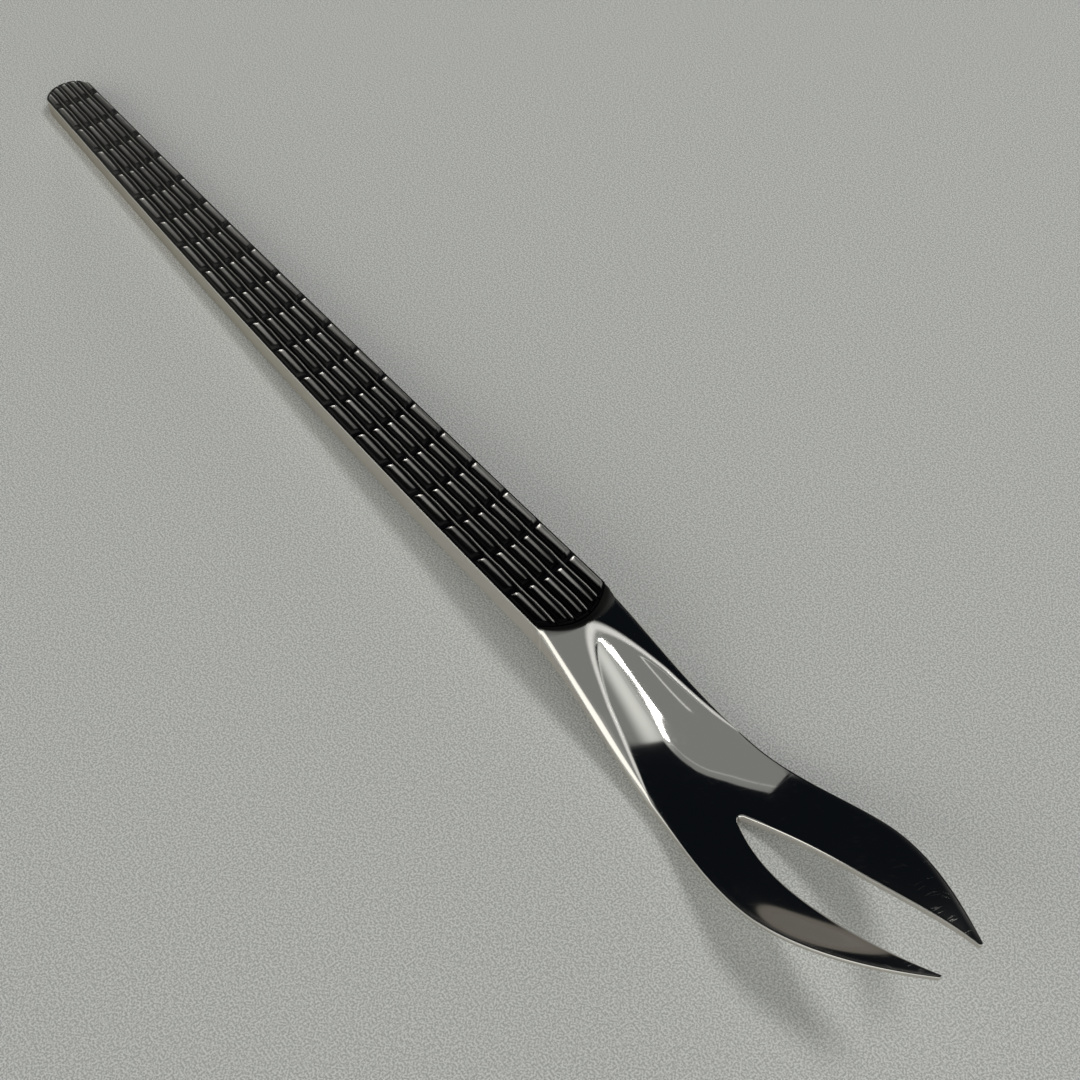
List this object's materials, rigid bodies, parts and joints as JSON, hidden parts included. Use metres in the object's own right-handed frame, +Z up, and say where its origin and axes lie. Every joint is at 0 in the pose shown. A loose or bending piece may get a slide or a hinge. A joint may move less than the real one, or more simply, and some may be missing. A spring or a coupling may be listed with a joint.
{
  "type": "butter fork",
  "caption": "Slim metal butter fork: a bar handle with a struck panel of pads in blackened grooves, a fluted neck and a dished head with curved claw-like tines.",
  "frame": {"origin": "on the table plane, under the middle of the fork's length and width", "axes": "+X along the fork from the butt towards the tines, +Z up from the table, +Y to the left of the tines"},
  "size_m": [0.15, 0.0142, 0.0136],
  "materials": {
    "polished_metal": "mirror polished silver-coloured metal with fine hairline scratches",
    "black_fill": "glossy black filling in the sunk lanes of the handle"
  },
  "bodies": {
    "root": {"fork_blank": "polished_metal", "groove_fill_1": "black_fill", "groove_fill_2": "black_fill", "groove_fill_3": "black_fill", "groove_fill_4": "black_fill", "groove_fill_5": "black_fill"}
  },
  "joints": []
}
